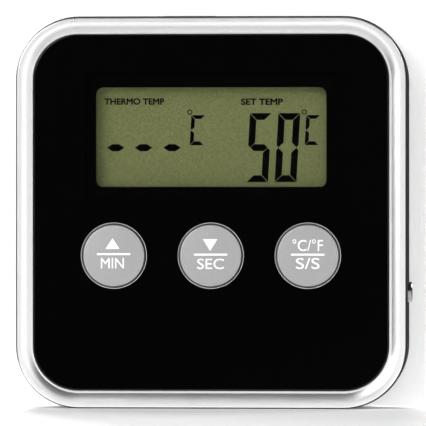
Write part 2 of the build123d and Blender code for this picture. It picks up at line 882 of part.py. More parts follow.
with BuildPart() as battery_spring:
    with BuildLine() as coil:
        Helix(
            pitch=spring_length / spring_turns,
            height=spring_length,
            radius=spring_radius,
            center=(spring_start_x, cell_y, cell_z),
            direction=(1, 0, 0),
        )
    with BuildSketch(Plane(origin=coil.line @ 0, z_dir=coil.line % 0)):
        Circle(spring_wire)
    sweep(is_frenet=True)
save(battery_spring, "battery_spring")

lead_radius = 0.55
lead_start = (bay_half_length + 2.3, 15.4)  # x, z on the solder tab
lead_bend_z = 20.0
lead_end = (bay_half_length - 0.3, 22.6)  # x, z on the board
lead_bend_radius = 1.1


def battery_lead(side, name):
    """An insulated lead from a contact's solder tab up to the board."""
    lead_y = tab_y[1] + lead_radius
    with BuildPart() as lead:
        with BuildLine() as route:
            FilletPolyline(
                (side * lead_start[0], lead_y, lead_start[1]),
                (side * lead_start[0], lead_y, lead_bend_z),
                (side * lead_end[0], lead_y, lead_end[1]),
                (side * lead_end[0], board_back_y, lead_end[1]),
                radius=lead_bend_radius,
            )
        with BuildSketch(Plane(origin=route.line @ 0, z_dir=route.line % 0)):
            Circle(lead_radius)
        sweep()
    save(lead, name)


battery_lead(1, "positive_lead")
battery_lead(-1, "negative_lead")

# ---- Fold-out stand --------------------------------------------------------------------------
stand_thick = 1.5
stand_corner = 1.5
stand_rib = 1.6
stand_rib_start = 2.0
thumb_radius = 4.2
thumb_z = stand_low_z - 0.6
stand_grips = 3
stand_grip_half_length = 6.0
stand_grip_pitch = 1.6
stand_grip_width = 0.7
stand_grip_z = stand_low_z + 6.0

with BuildPart() as stand_leg:
    plate_front_y = back_y - stand_thick
    block((-stand_half_width, plate_front_y, stand_low_z), (stand_half_width, back_y, stand_axis_z))
    fillet(stand_leg.edges().filter_by(Axis.Y).group_by(Axis.Z)[0], stand_corner)
    for rib_x in (-stand_half_width, stand_half_width - stand_rib):
        block(
            (rib_x, back_y - 2 * stand_knuckle, stand_low_z + stand_rib_start),
            (rib_x + stand_rib, plate_front_y, stand_axis_z),
        )
    rod_x(-stand_half_width, stand_half_width, stand_knuckle, stand_axis_y, stand_axis_z)
    rod_x(
        -stand_half_width,
        stand_half_width,
        stand_pin_radius + fit_gap,
        stand_axis_y,
        stand_axis_z,
        mode=Mode.SUBTRACT,
    )
    discs(plate_front_y, back_y, thumb_radius, [(0, thumb_z)], mode=Mode.SUBTRACT)
    for step in range(stand_grips):
        groove_z = stand_grip_z + stand_grip_pitch * step
        block(
            (-stand_grip_half_length, back_y - grip_depth, groove_z),
            (stand_grip_half_length, back_y, groove_z + stand_grip_width),
            mode=Mode.SUBTRACT,
        )
save(stand_leg, "stand_leg")

with BuildPart() as stand_pin:
    pin_half = recess_half_width + stand_pin_reach
    rod_x(-pin_half, pin_half, stand_pin_radius, stand_axis_y, stand_axis_z)
save(stand_pin, "stand_pin")

# ---- Magnets ---------------------------------------------------------------------------------
magnet_chamfer = 0.2

for name, centre in zip(("left_magnet", "right_magnet"), magnet_centres):
    with BuildPart() as magnet:
        discs(magnet_pocket_y, back_y - magnet_gap, magnet_radius, [centre])
        chamfer(magnet.faces().sort_by(Axis.Y)[-1].edges(), magnet_chamfer)
    save(magnet, name)

# ---- Screws ----------------------------------------------------------------------------------
case_head_radius = 1.9
case_head_thick = 1.6
case_head_round = 0.5
case_shank_radius = 0.95
case_shank_y = deck_back_y + 2.0
board_head_radius = 1.7
board_head_thick = 1.1
board_head_round = 0.3
board_shank_radius = 0.8
board_shank_y = deck_back_y + 1.5
recess_depth = 0.7

with BuildPart() as case_screws:
    head_back_y = case_head_y + case_head_thick
    discs(case_head_y, head_back_y, case_head_radius, case_screws_at)
    fillet(case_screws.faces().group_by(Axis.Y)[-1].edges(), case_head_round)
    discs(case_shank_y, case_head_y, case_shank_radius, case_screws_at)
    cross_recess(head_back_y - recess_depth, head_back_y, case_screws_at)
save(case_screws, "case_screws")

with BuildPart() as board_screws:
    head_back_y = board_back_y + board_head_thick
    discs(board_back_y, head_back_y, board_head_radius, board_screws_at)
    fillet(board_screws.faces().group_by(Axis.Y)[-1].edges(), board_head_round)
    discs(board_shank_y, board_back_y, board_shank_radius, board_screws_at)
    cross_recess(head_back_y - recess_depth, head_back_y, board_screws_at)
save(board_screws, "board_screws")
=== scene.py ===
import math

import bmesh
import bpy
from mathutils import Matrix, Vector


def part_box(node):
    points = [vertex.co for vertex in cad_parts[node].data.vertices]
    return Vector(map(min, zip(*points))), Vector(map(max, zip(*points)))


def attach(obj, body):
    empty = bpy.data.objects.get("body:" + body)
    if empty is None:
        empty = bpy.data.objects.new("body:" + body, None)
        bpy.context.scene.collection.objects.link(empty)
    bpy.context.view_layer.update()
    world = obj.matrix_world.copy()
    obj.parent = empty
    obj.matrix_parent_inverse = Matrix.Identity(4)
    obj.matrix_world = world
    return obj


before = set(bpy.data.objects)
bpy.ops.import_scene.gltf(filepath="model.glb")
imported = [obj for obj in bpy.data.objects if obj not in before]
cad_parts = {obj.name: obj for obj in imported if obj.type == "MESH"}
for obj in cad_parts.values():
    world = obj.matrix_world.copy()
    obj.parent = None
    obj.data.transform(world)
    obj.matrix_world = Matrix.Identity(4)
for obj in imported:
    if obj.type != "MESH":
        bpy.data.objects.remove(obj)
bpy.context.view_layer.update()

MM = 0.001
BLENDER = bpy.context.scene

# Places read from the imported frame, in metres: the case's middle and back, the ring's crest and the display.
SHELL_LOW, SHELL_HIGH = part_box("rear_shell")
GLASS_LOW, GLASS_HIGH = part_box("lcd_front_glass")
MID_Z = (SHELL_LOW.z + SHELL_HIGH.z) / 2
BACK_Y = SHELL_HIGH.y
CREST_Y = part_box("front_bezel")[0].y
DISPLAY_X = (GLASS_LOW.x + GLASS_HIGH.x) / 2
DISPLAY_Z = (GLASS_LOW.z + GLASS_HIGH.z) / 2


# ---- Small helpers ---------------------------------------------------------------------------
def new_object(name, mesh):
    made = bpy.data.objects.new(name, mesh)
    BLENDER.collection.objects.link(made)
    return made


def mesh_from(name, points, faces):
    mesh = bpy.data.meshes.new(name)
    mesh.from_pydata(points, [], faces)
    mesh.validate()
    return mesh


def prism(build, outline, front_y, thickness):
    """Adds a closed plate to a bmesh: outline is (x, z) points anticlockwise seen from the front."""
    front = [build.verts.new((x, front_y, z)) for x, z in outline]
    back = [build.verts.new((x, front_y + thickness, z)) for x, z in outline]
    build.faces.new(front)
    build.faces.new(back[::-1])
    for i, corner in enumerate(front):
        j = (i + 1) % len(front)
        build.faces.new((front[j], corner, back[i], back[j]))


def finish_mesh(name, build, body):
    """Turns a bmesh into a piece that rides on a body."""
    bmesh.ops.recalc_face_normals(build, faces=build.faces)
    mesh = bpy.data.meshes.new(name)
    build.to_mesh(mesh)
    build.free()
    piece = new_object(name, mesh)
    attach(piece, body)
    return piece


# ---- Materials -------------------------------------------------------------------------------
FINE_BUMP = 0.01 * MM
MEDIUM_BUMP = 0.02 * MM
COARSE_BUMP = 0.03 * MM
GRAIN_SCALE = 3200.0  # of moulded plastic


class Paint:
    """A node material built a step at a time."""

    def __init__(self, name):
        self.material = bpy.data.materials.new(name)
        self.material.use_nodes = True
        self.tree = self.material.node_tree
        self.nodes = self.tree.nodes
        self.shader = self.nodes["Principled BSDF"]
        self.output = self.nodes["Material Output"]
        self.where = self.nodes.new("ShaderNodeTexCoord").outputs["Object"]

    def set(self, **values):
        for key, value in values.items():
            self.shader.inputs[key.replace("_", " ")].default_value = value
        return self

    def link(self, a, b):
        self.tree.links.new(a, b)

    def noise(self, scale, detail=4.0, roughness=0.55):
        node = self.nodes.new("ShaderNodeTexNoise")
        node.inputs["Scale"].default_value = scale
        node.inputs["Detail"].default_value = detail
        node.inputs["Roughness"].default_value = roughness
        self.link(self.where, node.inputs["Vector"])
        return node.outputs["Fac"]

    def math(self, operation, *values):
        """The result of a Math node, whose inputs are sockets or plain numbers."""
        node = self.nodes.new("ShaderNodeMath")
        node.operation = operation
        for socket, value in zip(node.inputs, values):
            if isinstance(value, bpy.types.NodeSocket):
                self.link(value, socket)
            else:
                socket.default_value = value
        return node.outputs["Value"]

    def rescale(self, factor, low, high):
        """A factor from 0 to 1, made to run from low to high."""
        node = self.nodes.new("ShaderNodeMapRange")
        node.inputs["To Min"].default_value = low
        node.inputs["To Max"].default_value = high
        self.link(factor, node.inputs["Value"])
        return node.outputs["Result"]

    def mix(self, factor, first, second):
        """Two shaders, mixed by a factor."""
        node = self.nodes.new("ShaderNodeMixShader")
        self.link(factor, node.inputs["Fac"])
        self.link(first, node.inputs[1])
        self.link(second, node.inputs[2])
        return node.outputs["Shader"]

    def ramp(self, factor, stops):
        node = self.nodes.new("ShaderNodeValToRGB")
        elements = node.color_ramp.elements
        while len(elements) < len(stops):
            elements.new(0.5)
        for element, (place, colour) in zip(elements, stops):
            element.position = place
            element.color = (*colour, 1.0)
        self.link(factor, node.inputs["Fac"])
        return node.outputs["Color"]

    def colour(self, factor, dark, light, low=0.35, high=0.65):
        self.link(self.ramp(factor, [(low, dark), (high, light)]), self.shader.inputs["Base Color"])

    def range(self, factor, socket, low, high):
        self.link(self.rescale(factor, low, high), self.shader.inputs[socket])

    def bump(self, factor, strength, depth):
        node = self.nodes.new("ShaderNodeBump")
        node.inputs["Strength"].default_value = strength
        node.inputs["Distance"].default_value = depth
        self.link(factor, node.inputs["Height"])
        self.link(node.outputs["Normal"], self.shader.inputs["Normal"])


def grey(value, blue=0.0):
    return (value, value, value + blue)


def silver_paint(name, base, metal, rough):
    """Satin silver paint on moulded plastic: fine flakes under a smooth coat."""
    paint = Paint(name).set(Metallic=metal, Roughness=rough, Coat_Weight=0.25, Coat_Roughness=0.12)
    flakes = paint.noise(9000.0, detail=2.0)
    paint.colour(flakes, grey(base * 0.955), grey(base), low=0.3, high=0.7)
    paint.range(paint.noise(240.0), "Roughness", rough - 0.04, rough + 0.04)
    paint.bump(flakes, 0.12, FINE_BUMP)
    return paint.material


def moulded(name, base, rough=0.5, grain=0.25, specular=0.5):
    """Moulded plastic with a spark-eroded grain and faint handling marks."""
    dark = tuple(c * 0.85 for c in base)
    paint = Paint(name).set(Specular_IOR_Level=specular)
    paint.colour(paint.noise(420.0), dark, base)
    paint.range(paint.noise(90.0, detail=6.0), "Roughness", rough - 0.07, rough + 0.07)
    paint.bump(paint.noise(GRAIN_SCALE, detail=3.0), grain, COARSE_BUMP)
    return paint.material


def metal(name, base, rough):
    """Plated or bare metal, a little uneven in colour and polish."""
    paint = Paint(name).set(Metallic=1.0)
    marks = paint.noise(500.0, detail=5.0)
    paint.colour(marks, tuple(c * 0.82 for c in base), base)
    paint.range(marks, "Roughness", rough - 0.06, rough + 0.08)
    paint.bump(marks, 0.08, MEDIUM_BUMP)
    return paint.material


ACRYLIC_INDEX = 1.45
ACRYLIC_TINT = (0.96, 0.97, 0.97)
GLASS_INDEX = 1.12  # below real glass, for a weaker mirror than the sheet in front of it
GLASS_TINT = (0.93, 0.95, 0.90)
GLASS_RIM = 1.0 * MM  # of the display's glass, hidden behind the black print
HOLE_MARGIN = 0.8 * MM  # round the buttons, enough to take in the edges of their holes
CHAMFER_SPREAD = 0.15  # how far the Y of a chamfer's normal may be from that of 45 degrees
# grey painted on the chamfers of the button holes as their highlight
EDGE_HIGHLIGHT_GREY = 0.6


def front_mirror(paint, index):
    """Share of light that a thin pane mirrors: Fresnel where light enters it, and none where it leaves."""
    fresnel = paint.nodes.new("ShaderNodeFresnel")
    fresnel.inputs["IOR"].default_value = index
    leaving = paint.nodes.new("ShaderNodeNewGeometry").outputs["Backfacing"]
    return paint.math("MULTIPLY", fresnel.outputs["Fac"], paint.rescale(leaving, 1.0, 0.0))


def thin_pane(paint, tint, index, gloss):
    """A clear pane: what is behind shows through straight, under a gloss."""
    through = paint.nodes.new("ShaderNodeBsdfTransparent")
    through.inputs["Color"].default_value = (*tint, 1.0)
    return paint.mix(front_mirror(paint, index), through.outputs["BSDF"], gloss.outputs["BSDF"])


def display_glass():
    """Thin glass over the display, with faint smears."""
    paint = Paint("display_glass")
    paint.nodes.remove(paint.shader)
    gloss = paint.nodes.new("ShaderNodeBsdfGlossy")
    gloss.inputs["Color"].default_value = (1.0, 1.0, 1.0, 1.0)
    paint.link(paint.rescale(paint.noise(60.0, detail=6.0), 0.015, 0.02), gloss.inputs["Roughness"])
    paint.link(thin_pane(paint, GLASS_TINT, GLASS_INDEX, gloss), paint.output.inputs["Surface"])
    return paint.material


def window_mask(paint, low, high, margin):
    """1 in front of the box between two corners, grown by a margin on each side, and 0 elsewhere."""
    split = paint.nodes.new("ShaderNodeSeparateXYZ")
    paint.link(paint.where, split.inputs["Vector"])
    across = paint.math("COMPARE", split.outputs["X"], (low.x + high.x) / 2, (high.x - low.x) / 2 + margin)
    up = paint.math("COMPARE", split.outputs["Z"], (low.z + high.z) / 2, (high.z - low.z) / 2 + margin)
    return paint.math("MULTIPLY", across, up)


def highlighted_chamfers(paint):
    """1 on the chamfers of the button holes, which are painted grey as a highlight, and 0 elsewhere."""
    first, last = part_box("min_button")[0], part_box("start_button")[1]
    facing = paint.nodes.new("ShaderNodeSeparateXYZ")
    paint.link(paint.nodes.new("ShaderNodeNewGeometry").outputs["True Normal"], facing.inputs["Vector"])
    tilted = paint.math("COMPARE", facing.outputs["Y"], -math.sqrt(0.5), CHAMFER_SPREAD)
    return paint.math("MULTIPLY", window_mask(paint, first, last, HOLE_MARGIN), tilted)


def printed_sheet():
    """Polished acrylic, clear over the display and black from its print everywhere else, with a painted
    highlight in grey on the chamfers of the button holes.
    """
    paint = Paint("printed_sheet").set(IOR=ACRYLIC_INDEX)
    black = paint.ramp(paint.noise(900.0), [(0.35, grey(0.0004)), (0.65, grey(0.0007))])
    paint.range(paint.noise(45.0, detail=7.0), "Roughness", 0.02, 0.06)
    # Painted highlight: the chamfers of the button holes are coloured grey.
    edge_highlight = paint.nodes.new("ShaderNodeMix")
    edge_highlight.data_type = "RGBA"
    edge_highlight.inputs["B"].default_value = (*grey(EDGE_HIGHLIGHT_GREY), 1.0)
    paint.link(highlighted_chamfers(paint), edge_highlight.inputs["Factor"])
    paint.link(black, edge_highlight.inputs["A"])
    paint.link(edge_highlight.outputs["Result"], paint.shader.inputs["Base Color"])
    gloss = paint.nodes.new("ShaderNodeBsdfGlossy")
    gloss.inputs["Roughness"].default_value = 0.03
    pane = thin_pane(paint, ACRYLIC_TINT, ACRYLIC_INDEX, gloss)
    window = window_mask(paint, GLASS_LOW, GLASS_HIGH, -GLASS_RIM)
    sheet = paint.mix(window, paint.shader.outputs["BSDF"], pane)
    paint.link(sheet, paint.output.inputs["Surface"])
    return paint.material


def display_film():
    """Olive reflective film, bonded to the rear glass, with its fine mottle."""
    paint = Paint("display_film").set(Roughness=0.55, Specular_IOR_Level=0.3)
    mottle = paint.noise(2600.0, detail=5.0, roughness=0.7)
    paint.colour(mottle, (0.145, 0.145, 0.057), (0.238, 0.231, 0.110), low=0.3, high=0.7)
    paint.bump(mottle, 0.15, MEDIUM_BUMP)
    return paint.material


def circuit_board():
    """Green solder resist over copper tracks."""
    paint = Paint("circuit_board").set(Roughness=0.35, Coat_Weight=0.3, Coat_Roughness=0.2)
    tracks = paint.nodes.new("ShaderNodeTexBrick")
    tracks.inputs["Scale"].default_value = 300.0
    tracks.inputs["Color1"].default_value = (0.012, 0.12, 0.045, 1.0)
    tracks.inputs["Color2"].default_value = (0.016, 0.15, 0.055, 1.0)
    tracks.inputs["Mortar"].default_value = (0.05, 0.26, 0.10, 1.0)
    tracks.inputs["Mortar Size"].default_value = 0.03
    turn = paint.nodes.new("ShaderNodeMapping")
    turn.inputs["Rotation"].default_value = (math.radians(90), 0.0, 0.0)
    paint.link(paint.where, turn.inputs["Vector"])
    paint.link(turn.outputs["Vector"], tracks.inputs["Vector"])
    paint.link(tracks.outputs["Color"], paint.shader.inputs["Base Color"])
    paint.bump(tracks.outputs["Fac"], 0.2, COARSE_BUMP)
    return paint.material


def battery_sleeve():
    """Printed sleeve: a plain light grey body with a slate grey band round the positive end."""
    paint = Paint("battery_sleeve").set(Roughness=0.3, Metallic=0.35, Coat_Weight=0.4)
    low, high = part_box("battery_can")
    split = paint.nodes.new("ShaderNodeSeparateXYZ")
    paint.link(paint.where, split.inputs["Vector"])
    place = paint.nodes.new("ShaderNodeMapRange")
    place.inputs["From Min"].default_value = low.x
    place.inputs["From Max"].default_value = high.x
    paint.link(split.outputs["X"], place.inputs["Value"])
    steel, body, band = (0.55, 0.55, 0.56), grey(0.42), (0.05, 0.06, 0.075)
    stops = [(0.0, steel), (0.03, steel)]
    stops += [(0.035, body), (0.74, body)]
    stops += [(0.745, band), (0.97, band), (0.975, steel)]
    paint.link(paint.ramp(place.outputs["Result"], stops), paint.shader.inputs["Base Color"])
    paint.range(paint.noise(300.0), "Roughness", 0.22, 0.38)
    return paint.material


def assign(material, *nodes):
    """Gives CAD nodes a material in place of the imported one."""
    for node in nodes:
        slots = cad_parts[node].data.materials
        slots.clear()
        slots.append(material)


assign(silver_paint("silver_ring", 0.92, 0.93, 0.29), "front_bezel")
assign(silver_paint("silver_knob", 0.62, 0.4, 0.4), "switch_knob")
assign(printed_sheet(), "front_panel")
assign(display_glass(), "lcd_front_glass")
assign(moulded("black_print", grey(0.0012), 0.6, 0.02, specular=0.0), "panel_print")
assign(moulded("adhesive_foam", grey(0.03), 0.8), "panel_adhesive", "lcd_seal")
assign(display_film(), "lcd_rear_glass", "lcd_reflector")
assign(moulded("white_moulding", grey(0.72), 0.5), "lcd_holder")
assign(moulded("contact_rubber", grey(0.05), 0.7), "zebra_strip")
assign(circuit_board(), "main_board")
assign(moulded("cast_epoxy", grey(0.008), 0.2, 0.05), "controller_blob")
assign(moulded("ceramic_chips", (0.30, 0.20, 0.12), 0.4, 0.1), "board_components")
assign(moulded("black_parts", grey(0.02), 0.45), "tact_switches", "buzzer_can", "jack_body")
assign(
    metal("bright_steel", grey(0.62), 0.28),
    "clock_crystal",
    "switch_frame",
    "case_screws",
    "board_screws",
    "stand_pin",
    "battery_spring",
    "positive_contact",
    "negative_contact",
    "battery_tip",
)
assign(metal("nickel_plate", (0.50, 0.49, 0.47), 0.27), "jack_ferrule")
assign(metal("magnet_nickel", (0.60, 0.59, 0.57), 0.2), "left_magnet", "right_magnet")
assign(metal("phosphor_bronze", (0.72, 0.50, 0.28), 0.25), "jack_contacts")
assign(
    moulded("plunger_plastic", grey(0.3), 0.5),
    "min_plunger",
    "sec_plunger",
    "start_plunger",
    "switch_slider",
)
assign(moulded("shell_plastic", grey(0.017, 0.001), 0.48, 0.35), "rear_shell")
assign(moulded("door_plastic", grey(0.02, 0.001), 0.5, 0.35), "battery_door")
assign(moulded("stand_plastic", grey(0.02, 0.001), 0.5, 0.35), "stand_leg")
assign(battery_sleeve(), "battery_can")
assign(moulded("red_insulation", (0.45, 0.015, 0.012), 0.35, 0.05), "positive_lead")
assign(moulded("black_insulation", grey(0.02), 0.35, 0.05), "negative_lead")


def button_plastic():
    """Satin grey caps, smoother than the shell."""
    paint = Paint("button_plastic").set(Specular_IOR_Level=0.6, Metallic=0.5)
    paint.colour(paint.noise(6000.0, detail=2.0), grey(0.335), grey(0.37), low=0.3, high=0.7)
    paint.range(paint.noise(150.0, detail=5.0), "Roughness", 0.35, 0.41)
    paint.bump(paint.noise(5200.0, detail=2.0), 0.12, FINE_BUMP)
    return paint.material


assign(button_plastic(), "min_button", "sec_button", "start_button")

# The display's front glass is clear and bonded to what is behind it, so it casts no shadow of its own.
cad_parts["lcd_front_glass"].visible_shadow = False


def ink(name, base, rough, specular):
    """Thin printed colour."""
    paint = Paint(name).set(Specular_IOR_Level=specular)
    paint.colour(paint.noise(3000.0), tuple(c * 0.93 for c in base), base)
    paint.range(paint.noise(500.0), "Roughness", rough - 0.05, rough + 0.05)
    return paint.material


SEGMENT_INK = ink("segment_ink", (0.003, 0.003, 0.004), 0.6, specular=0.0)
LEGEND_INK = ink("legend_ink", (0.93, 0.93, 0.93), 0.5, specular=0.5)


# ---- What the display shows ------------------------------------------------------------------
# Figures are placed from the middle of the display's glass: their centres' X offsets, and one Z for each row.
SEGMENT_Y = GLASS_HIGH.y + 0.03 * MM
SEGMENT_THICK = 0.04 * MM
SEGMENT_GAP = 0.11 * MM
TIP_SHARE = 0.3  # how far across an upright bar its inner point lies
SLANT = math.tan(math.radians(3.2))

DIGIT_OFFSETS = (8.42 * MM, 13.5 * MM)
DIGIT_Z = DISPLAY_Z - 1.82 * MM
DIGIT_WIDTH = 3.9 * MM
DIGIT_HEIGHT = 12.3 * MM
DIGIT_STROKE = 1.2 * MM

DASH_OFFSETS = (-17.25 * MM, -12.25 * MM, -7.15 * MM)
DASH_LENGTH = 3.1 * MM
DASH_STROKE = 1.25 * MM
DASH_POINT = 0.75

UNIT_OFFSETS = (-2.58 * MM, 17.98 * MM)
UNIT_Z = DISPLAY_Z + 1.3 * MM
UNIT_WIDTH = 2.5 * MM
UNIT_HEIGHT = 5.35 * MM
UNIT_STROKE = 0.66 * MM

DEGREE_OFFSETS = (-3.95 * MM, 16.5 * MM)
DEGREE_Z = DISPLAY_Z + 4.53 * MM
DEGREE_OUTER = 0.46 * MM
DEGREE_INNER = 0.29 * MM
DEGREE_STEPS = 24

WORD_HEIGHT = 1.15 * MM
WORD_WEIGHT = 0.028  # how far the letters are thickened, as a share of the font's size


def hexagon(centre_x, centre_z, length, stroke, point=0.5):
    """Outline of a bar that is pointed at both ends; point is the length of a point, in strokes."""
    half, side = length / 2, stroke / 2
    shoulder = half - point * stroke
    shape = [
        (-half, 0.0),
        (-shoulder, -side),
        (shoulder, -side),
        (half, 0.0),
        (shoulder, side),
        (-shoulder, side),
    ]
    return [(centre_x + x, centre_z + z) for x, z in shape]


def slanted(outline, axis_z):
    """The outline, leaning to the right about a level line."""
    return [(x + (z - axis_z) * SLANT, z) for x, z in outline]


def seven_segments(build, centre_x, centre_z, width, height, stroke, lit):
    """Adds the lit bars of a seven-segment figure: a top, b and c right, d bottom, e and f left, g middle.

    Neighbouring bars meet at mitres with a thin gap between them.
    """
    half_w, half_h, gap = width / 2, height / 2, SEGMENT_GAP / math.sqrt(2)
    tip = TIP_SHARE * stroke
    top = [
        (-half_w + gap, half_h),
        (-half_w + stroke + gap, half_h - stroke),
        (half_w - stroke - gap, half_h - stroke),
        (half_w - gap, half_h),
    ]
    upper_right = [
        (half_w, half_h - gap),
        (half_w - stroke, half_h - stroke - gap),
        (half_w - stroke, stroke - tip + gap),
        (half_w - tip, gap),
        (half_w, tip + gap),
    ]

    def mirrored(outline, sign_x, sign_z):
        return [(x * sign_x, z * sign_z) for x, z in outline]

    figure = {
        "a": top,
        "b": upper_right,
        "c": mirrored(upper_right, 1.0, -1.0),
        "d": mirrored(top, 1.0, -1.0),
        "e": mirrored(upper_right, -1.0, -1.0),
        "f": mirrored(upper_right, -1.0, 1.0),
        "g": hexagon(0.0, 0.0, width - 2 * tip - 2 * gap, stroke),
    }
    for letter in lit:
        outline = [(centre_x + x, centre_z + z) for x, z in figure[letter]]
        prism(build, slanted(outline, centre_z), SEGMENT_Y, SEGMENT_THICK)


def display_piece(name, build):
    piece = finish_mesh(name, build, "case")
    piece.data.materials.append(SEGMENT_INK)


def circle(radius, steps):
    """Evenly spaced points on a circle about the origin, anticlockwise."""
    turn = [2 * math.pi * i / steps for i in range(steps)]
    return [(radius * math.cos(t), radius * math.sin(t)) for t in turn]


def degree_ring(build, centre_x, centre_z):
    """Adds a closed flat ring, the degree sign, to a bmesh."""
    loops = []
    front, back = SEGMENT_Y, SEGMENT_Y + SEGMENT_THICK
    corners = [(DEGREE_OUTER, front), (DEGREE_OUTER, back), (DEGREE_INNER, back), (DEGREE_INNER, front)]
    for radius, y in corners:
        points = circle(radius, DEGREE_STEPS)
        loops.append([build.verts.new((centre_x + x, y, centre_z + z)) for x, z in points])
    for this, following in zip(loops, loops[1:] + loops[:1]):
        for i in range(DEGREE_STEPS):
            j = (i + 1) % DEGREE_STEPS
            build.faces.new((this[i], this[j], following[j], following[i]))


digits = bmesh.new()
for offset, lit_bars in zip(DIGIT_OFFSETS, ("afgcd", "abcdef")):
    seven_segments(digits, DISPLAY_X + offset, DIGIT_Z, DIGIT_WIDTH, DIGIT_HEIGHT, DIGIT_STROKE, lit_bars)
display_piece("lcd_digits", digits)

units = bmesh.new()
for offset in UNIT_OFFSETS:
    seven_segments(units, DISPLAY_X + offset, UNIT_Z, UNIT_WIDTH, UNIT_HEIGHT, UNIT_STROKE, "afed")
display_piece("lcd_unit_letters", units)

dashes = bmesh.new()
for offset in DASH_OFFSETS:
    dash = hexagon(DISPLAY_X + offset, DIGIT_Z, DASH_LENGTH, DASH_STROKE, DASH_POINT)
    prism(dashes, dash, SEGMENT_Y, SEGMENT_THICK)
display_piece("lcd_dashes", dashes)

degrees = bmesh.new()
for offset in DEGREE_OFFSETS:
    degree_ring(degrees, DISPLAY_X + offset, DEGREE_Z)
display_piece("lcd_degree_rings", degrees)


def lettering(words, width, height, weight, thickness):
    """A flat word, fitted to a size and centred, as a closed mesh in the XZ plane that faces -Y."""
    curve = bpy.data.curves.new("lettering", "FONT")
    curve.body = words
    curve.size = 1.0
    curve.bevel_depth = weight
    curve.bevel_resolution = 0
    curve.extrude = 0.5
    curve.resolution_u = 6
    holder = new_object("lettering", curve)
    bpy.context.view_layer.update()
    mesh = bpy.data.meshes.new_from_object(holder.evaluated_get(bpy.context.evaluated_depsgraph_get()))
    bpy.data.objects.remove(holder)
    low = [min(v.co[k] for v in mesh.vertices) for k in range(3)]
    high = [max(v.co[k] for v in mesh.vertices) for k in range(3)]
    for vertex in mesh.vertices:
        x, y, z = vertex.co
        vertex.co = (
            ((x - low[0]) / (high[0] - low[0]) - 0.5) * width,
            -((z - low[2]) / (high[2] - low[2]) - 0.5) * thickness,
            ((y - low[1]) / (high[1] - low[1]) - 0.5) * height,
        )
    mesh.materials.clear()
    return mesh


def word_on_display(name, words, dx, dz, width):
    mesh = lettering(words, width, WORD_HEIGHT, WORD_WEIGHT, SEGMENT_THICK)
    middle_y = SEGMENT_Y + SEGMENT_THICK / 2
    mesh.transform(Matrix.Translation((DISPLAY_X + dx, middle_y, DISPLAY_Z + dz)))
    piece = new_object(name, mesh)
    piece.data.materials.append(SEGMENT_INK)
    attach(piece, "case")


word_on_display("lcd_word_left", "THERMO TEMP", dx=-13.9 * MM, dz=6.44 * MM, width=10.75 * MM)
word_on_display("lcd_word_right", "SET TEMP", dx=8.95 * MM, dz=6.38 * MM, width=7.5 * MM)


# ---- Legends printed on the buttons ----------------------------------------------------------
PRINT_THICK = 0.03 * MM
LINE_LENGTH = 5.95 * MM
LINE_STROKE = 0.33 * MM
CAP_RADIUS = 5.5 * MM
CAP_EDGE = 0.18 * MM  # the rounding of a cap's rim
CAP_CROWN = 0.15 * MM  # how far the middle of a cap stands out from its rim
STRIP_WIDTH = 0.4 * MM


def join_into(build, mesh, dx, dz):
    """Moves a mesh across the button's face, adds it to a bmesh and removes it."""
    mesh.transform(Matrix.Translation((dx, 0.0, dz)))
    build.from_mesh(mesh)
    bpy.data.meshes.remove(mesh)


def cut_strips(build, across, reach):
    """Cuts every face by evenly spaced planes square to a direction, so that the print can bend."""
    steps = int(reach / STRIP_WIDTH)
    for step in range(-steps, steps + 1):
        bmesh.ops.bisect_plane(
            build,
            geom=build.verts[:] + build.edges[:] + build.faces[:],
            plane_co=[step * STRIP_WIDTH * c for c in across],
            plane_no=across,
            dist=1e-7,
        )


def legend(button, body, line_dz, flat_marks, words):
    """White print on a cap: a level line, solid marks and words, all bent over the cap's dome.

    Each word is (text, dx, dz, width, height), measured from the cap's middle.
    """
    low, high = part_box(button)
    centre_x, centre_z = (low.x + high.x) / 2, (low.z + high.z) / 2
    build = bmesh.new()
    half_length, half_stroke = LINE_LENGTH / 2, LINE_STROKE / 2
    line = [
        (-half_length, line_dz - half_stroke),
        (half_length, line_dz - half_stroke),
        (half_length, line_dz + half_stroke),
        (-half_length, line_dz + half_stroke),
    ]
    for outline in (line, *flat_marks):
        prism(build, outline, -PRINT_THICK / 2, PRINT_THICK)
    for text, dx, dz, width, height in words:
        join_into(build, lettering(text, width, height, 0.0, PRINT_THICK), dx, dz)
    cut_strips(build, (1.0, 0.0, 0.0), half_length)
    cut_strips(build, (0.0, 0.0, 1.0), half_length)
    dome_radius = CAP_RADIUS - CAP_EDGE
    for vertex in build.verts:
        share = (vertex.co.x**2 + vertex.co.z**2) / dome_radius**2
        vertex.co.y += low.y + CAP_CROWN * share
        vertex.co.x += centre_x
        vertex.co.z += centre_z
    piece = finish_mesh(button.replace("button", "legend"), build, body)
    piece.data.materials.append(LEGEND_INK)


def triangle(apex_dz, base_dz, half_width, dx):
    """Outline of a solid arrowhead that points up or down, anticlockwise."""
    points = [(dx - half_width, base_dz), (dx + half_width, base_dz), (dx, apex_dz)]
    return points if apex_dz > base_dz else points[::-1]


legend(
    "min_button",
    "min_key",
    line_dz=0.27 * MM,
    flat_marks=[triangle(apex_dz=3.1 * MM, base_dz=1.2 * MM, half_width=1.25 * MM, dx=-0.2 * MM)],
    words=[("MIN", -0.22 * MM, -1.34 * MM, 4.1 * MM, 1.85 * MM)],
)
legend(
    "sec_button",
    "sec_key",
    line_dz=0.2 * MM,
    flat_marks=[triangle(apex_dz=0.85 * MM, base_dz=2.95 * MM, half_width=1.28 * MM, dx=-0.08 * MM)],
    words=[("SEC", 0.0, -1.45 * MM, 4.75 * MM, 1.85 * MM)],
)
legend(
    "start_button",
    "start_key",
    line_dz=0.2 * MM,
    flat_marks=[],
    words=[
        ("°C/°F", 0.0, 1.88 * MM, 5.4 * MM, 2.1 * MM),
        ("S/S", 0.0, -1.37 * MM, 4.2 * MM, 1.95 * MM),
    ],
)


